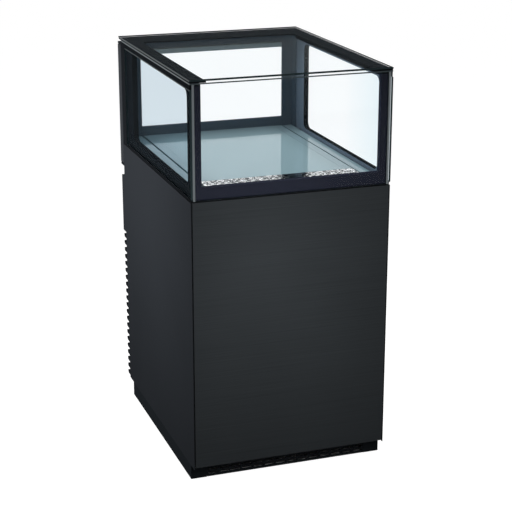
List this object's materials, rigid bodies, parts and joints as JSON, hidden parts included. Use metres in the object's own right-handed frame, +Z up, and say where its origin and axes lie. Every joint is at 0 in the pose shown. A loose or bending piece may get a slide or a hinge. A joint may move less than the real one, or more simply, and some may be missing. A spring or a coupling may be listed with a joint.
{
  "type": "refrigerated display cabinet",
  "caption": "Floor-standing refrigerated display: dark steel cabinet on a slotted plinth, double-glazed cube on top, glazed rear door, louvred back.",
  "frame": {"origin": "on the floor under the middle of the whole outline, door handle included", "axes": "+X to the right seen from the front, +Y to the back where the door is, +Z up; the front faces -Y"},
  "size_m": [0.6, 0.83, 1.2],
  "materials": {
    "cabinet_steel": "satin",
    "brushed_panel": "brushed, near black",
    "plinth_steel": "matt",
    "black_seal": "matt",
    "clear_glass": "clear",
    "glass_border": "printed",
    "silver_trim": "satin anodised",
    "deck_gloss": "gloss",
    "deck_matt": "satin",
    "frame_paint": "painted, satin",
    "door_profile": "painted, satin",
    "lens": "opal",
    "rubber": "matt",
    "zinc_steel": "zinc plated",
    "foam_liner": "satin",
    "coil_metal": "mill",
    "copper": "bright",
    "machine_black": "satin",
    "fan_plastic": "satin",
    "tray_plastic": "satin",
    "fascia": "satin",
    "display": "gloss",
    "button_grey": "satin",
    "board": "gloss"
  },
  "bodies": {
    "cabinet": {"plinth_rails": "plinth_steel", "plinth_grille": "plinth_steel", "levelling_feet": "zinc_steel", "base_pan": "zinc_steel", "chassis_posts": "zinc_steel", "chassis_bars": "zinc_steel", "insulated_well": "foam_liner", "side_panel_left": "cabinet_steel", "side_panel_right": "cabinet_steel", "front_panel": "brushed_panel", "back_panel": "cabinet_steel", "louvre_cover": "cabinet_steel", "control_box": "cabinet_steel", "control_fascia": "fascia", "display_window": "display", "power_inlet": "black_seal", "control_board": "board", "cover_screws": "zinc_steel", "deck_tray": "deck_matt", "deck_inlay": "deck_gloss", "air_grille": "deck_matt", "side_ledges": "deck_matt", "front_pane": "clear_glass", "left_pane": "clear_glass", "right_pane": "clear_glass", "roof_pane": "clear_glass", "inner_panes": "clear_glass", "glass_borders": "glass_border", "corner_strips": "silver_trim", "corner_seals": "black_seal", "top_rails": "black_seal", "bottom_rails": "black_seal", "rear_frame": "frame_paint", "light_lens": "lens", "hinge_top": "plinth_steel", "hinge_bottom": "plinth_steel", "condenser_coil": "coil_metal", "condenser_shroud": "zinc_steel", "condenser_motor": "machine_black", "evaporator_coil": "coil_metal", "evaporator_shroud": "zinc_steel", "evaporator_motor": "machine_black", "compressor": "machine_black", "compressor_mounts": "rubber", "condensate_tray": "tray_plastic", "drain_pipe": "black_seal", "refrigerant_pipes": "copper", "filter_dryer": "copper"},
    "door": {"door_frame": "door_profile", "door_panes": "clear_glass", "door_gasket": "rubber", "door_handle": "silver_trim"},
    "condenser_fan": {"condenser_fan": "fan_plastic"},
    "evaporator_fan": {"evaporator_fan": "fan_plastic"},
    "button_set": {"button_set": "button_grey"},
    "button_up": {"button_up": "button_grey"},
    "button_down": {"button_down": "button_grey"},
    "button_defrost": {"button_defrost": "button_grey"},
    "rocker_light": {"rocker_light": "button_grey"},
    "rocker_power": {"rocker_power": "button_grey"}
  },
  "joints": [
    {"name": "door_hinge", "type": "hinge", "parent": "cabinet", "child": "door", "pos_m": [-0.292, 0.358, 0.9815], "axis": [0, 0, 1], "range_deg": [0, 110]},
    {"name": "condenser_fan_spin", "type": "hinge", "parent": "cabinet", "child": "condenser_fan", "pos_m": [0, -0.207, 0.182], "axis": [0, 1, 0], "continuous": true},
    {"name": "evaporator_fan_spin", "type": "hinge", "parent": "cabinet", "child": "evaporator_fan", "pos_m": [0, -0.027, 0.749], "axis": [0, 1, 0], "continuous": true},
    {"name": "button_set_press", "type": "slide", "parent": "cabinet", "child": "button_set", "axis": [0, -1, 0], "range_m": [0, 0.0012], "stiffness_N_per_m": 300},
    {"name": "button_up_press", "type": "slide", "parent": "cabinet", "child": "button_up", "axis": [0, -1, 0], "range_m": [0, 0.0012], "stiffness_N_per_m": 300},
    {"name": "button_down_press", "type": "slide", "parent": "cabinet", "child": "button_down", "axis": [0, -1, 0], "range_m": [0, 0.0012], "stiffness_N_per_m": 300},
    {"name": "button_defrost_press", "type": "slide", "parent": "cabinet", "child": "button_defrost", "axis": [0, -1, 0], "range_m": [0, 0.0012], "stiffness_N_per_m": 300},
    {"name": "rocker_light_tilt", "type": "hinge", "parent": "cabinet", "child": "rocker_light", "pos_m": [0.122, 0.377, 0.654], "axis": [1, 0, 0], "range_deg": [0, 16]},
    {"name": "rocker_power_tilt", "type": "hinge", "parent": "cabinet", "child": "rocker_power", "pos_m": [0.152, 0.377, 0.654], "axis": [1, 0, 0], "range_deg": [0, 16]}
  ]
}
